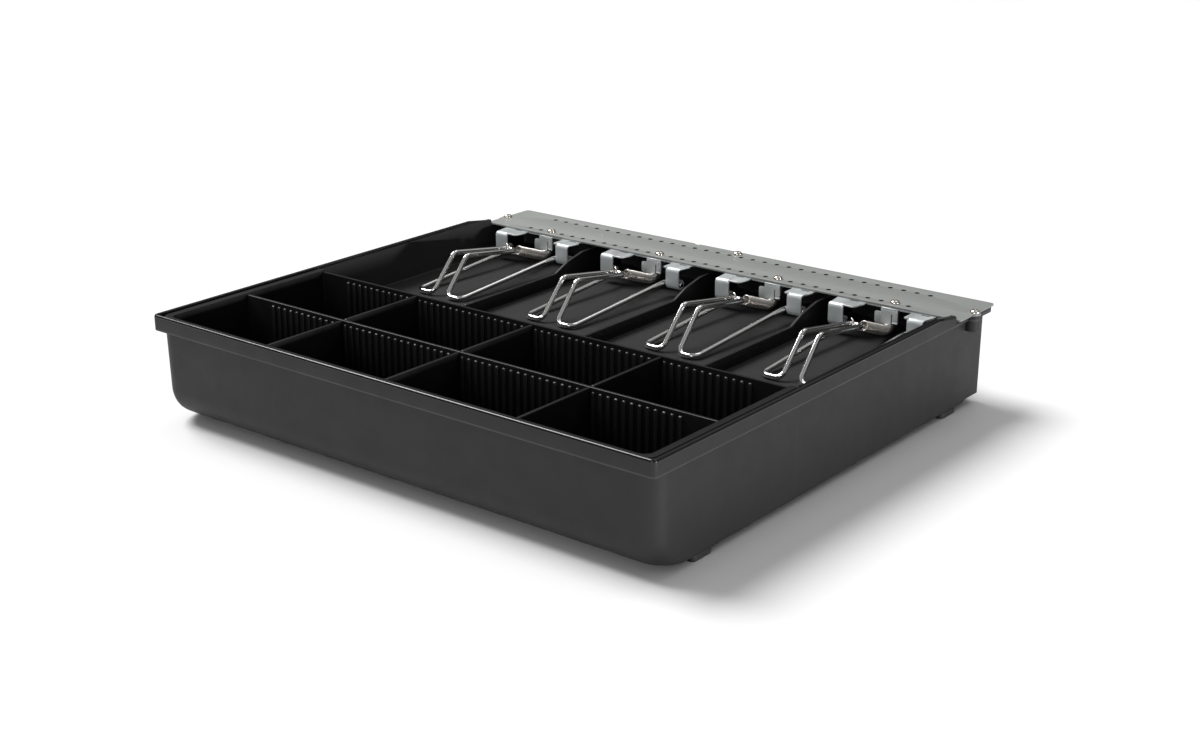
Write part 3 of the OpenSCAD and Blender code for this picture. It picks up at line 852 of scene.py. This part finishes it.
for i, c in enumerate(CX):
    body_pts = coil(spring_line(), 2.85, 1.3, 24)
    first = body_pts[0]
    # the hook passes under the clip's loop, and its end stands up in front of it
    hook = [Vector(q) for q in ((-5.0, 261.2, -6.2), (-4.2, 260.7, -6.6), (-3.0, 260.0, -7.4), (-1.9, 259.4, -8.6), (-1.1, 259.3, -9.8), (-0.8, 259.7, -11.2),
                                (-0.5, 260.7, -12.3), (-0.3, 262.1, -12.95), (-0.15, 263.6, -13.4), (-0.05, 264.8, -13.8))]
    pts = [p + Vector((c + 2, 0, 0)) for p in hook + body_pts]
    ob = tube(f"spring_{i + 1}", pts, 0.5, 8)
    finish_piece(ob, None, spring_mat, [f"clip_spring_{i + 1}"], 70)
    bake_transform(ob)


# ---------------------------------------------------------------- screws and feet

def screw(x, y):
    z = -5.5
    head = [(1.3, z - 0.3), (2.9, z), (3.0, z + 0.25), (2.98, z + 0.55), (2.8, z + 1.05), (2.45, z + 1.5), (1.95, z + 1.83), (1.3, z + 2.03), (0.6, z + 2.1)]
    ob = lathe("screw", head, (x, y), 36)
    cut = []
    for turn in (35, 125):
        q = Matrix.Translation((x, y, 0)) @ Matrix.Rotation(radians(turn), 4, "Z")
        rings = []
        for zz, lx, ly in ((z + 0.9, 1.0, 0.28), (z + 1.5, 1.55, 0.36), (z + 2.6, 1.85, 0.42)):
            rings.append([tuple(q @ Vector((sx * lx, sy * ly, zz))) for sx, sy in ((-1, -1), (1, -1), (1, 1), (-1, 1))])
        cut.append(stack("cut", rings))
    boolean(ob, cut, "DIFFERENCE")
    shank = lathe("shank", [(1.45, z - 6), (1.5, z - 5.5), (1.5, z - 0.1)], (x, y), 20)
    return [ob, shank]


sc = join("bracket_screw_set", [o for c in CX for o in screw(c + 3.5, 300.5)])
finish_piece(sc, "tray", screw_mat, ["bracket_screws"], 40)
sc = join("plate_end_screw_set", [o for x, y in END_SCREWS for o in screw(x, y)])
finish_piece(sc, "tray", screw_mat, ["plate_end_screws"], 40)
sc = join("plate_back_screw_piece", screw(2.3, 332))
finish_piece(sc, "tray", screw_mat, ["plate_back_screw"], 40)

feet = []
for x in (-173.8, 173.8):
    for y in (44.4, 295.8):
        line = rounded([(x - 8.2, y - 8.2), (x + 8.2, y - 8.2), (x + 8.2, y + 8.2), (x - 8.2, y + 8.2)], 2.5, 6)
        feet.append(prism("foot", line, -67, -63.08, along_z, 0.7, 4))
finish_piece(join("foot_set", feet), "tray", rubber_mat, ["rubber_feet"], 40)


# ---------------------------------------------------------------- floor, light, camera

floor_me = bpy.data.meshes.new("floor")
floor_me.from_pydata([(-5, -5, 0), (5, -5, 0), (5, 5, 0), (-5, 5, 0)], [], [(0, 1, 2, 3)])
floor = bpy.data.objects.new("floor", floor_me)
scene.collection.objects.link(floor)
m, nt, p = new_mat("floor_white")
v = coords(nt)
nt.links.new(ramp(nt, noise(nt, v, 3, 3, 0.5), [(0.3, (0.86, 0.86, 0.86)), (0.7, (0.875, 0.875, 0.875))]), p.inputs["Base Color"])
p.inputs["Roughness"].default_value = 0.6
floor_me.materials.append(m)

world = bpy.data.worlds.new("studio")
scene.world = world
world.use_nodes = True
wt = world.node_tree
bg = wt.nodes["Background"]
# bright overhead, dark towards the horizon, as under a large soft ceiling light
tc = wt.nodes.new("ShaderNodeTexCoord")
sep = wt.nodes.new("ShaderNodeSeparateXYZ")
wt.links.new(tc.outputs["Generated"], sep.inputs["Vector"])
wt.links.new(ramp(wt, sep.outputs["Z"], [(0.0, (0.03, 0.03, 0.03)), (0.38, (0.05, 0.05, 0.05)), (0.50, (0.40, 0.40, 0.40)), (0.72, (0.40, 0.40, 0.40)), (0.86, (0.26, 0.26, 0.26))]), bg.inputs["Color"])
bg.inputs["Strength"].default_value = 1.0


def far_light(name, bearing, height, spread, energy):
    """Soft distant light from a bearing (0 = from the left, 90 = from the front) and a height, in degrees."""
    light = bpy.data.lights.new(name, "SUN")
    light.energy = energy
    light.angle = radians(spread)
    ob = bpy.data.objects.new(name, light)
    scene.collection.objects.link(ob)
    b, h = radians(bearing), radians(height)
    ob.rotation_euler = Vector((cos(b) * cos(h), sin(b) * cos(h), -sin(h))).to_track_quat("-Z", "Y").to_euler()


far_light("left_light", 3, 53, 30, 3.4)
far_light("front_light", 105, 14, 30, 0.8)
far_light("back_light", 268, 62, 26, 0.3)
far_light("side_light", 183, 1.2, 2, 2.0)

cam = bpy.data.cameras.new("camera")
cam.lens = 54.405
cam.sensor_width = 36
cam.sensor_fit = "HORIZONTAL"
cam.clip_start = 0.01
cam_ob = bpy.data.objects.new("camera", cam)
scene.collection.objects.link(cam_ob)
az, el, roll = radians(38.8969), radians(19.2862), radians(-0.3379)
fwd = Vector((-sin(az) * cos(el), cos(az) * cos(el), -sin(el)))
rt = fwd.cross(Vector((0, 0, 1))).normalized()
up = rt.cross(fwd)
RT = rt * cos(roll) + up * sin(roll)
UP = up * cos(roll) - rt * sin(roll)
cam_ob.matrix_world = Matrix((
    (RT.x, UP.x, -fwd.x, 0.657143),
    (RT.y, UP.y, -fwd.y, -0.793897),
    (RT.z, UP.z, -fwd.z, 0.387447),
    (0, 0, 0, 1)))
scene.camera = cam_ob
scene.view_settings.view_transform = "Standard"
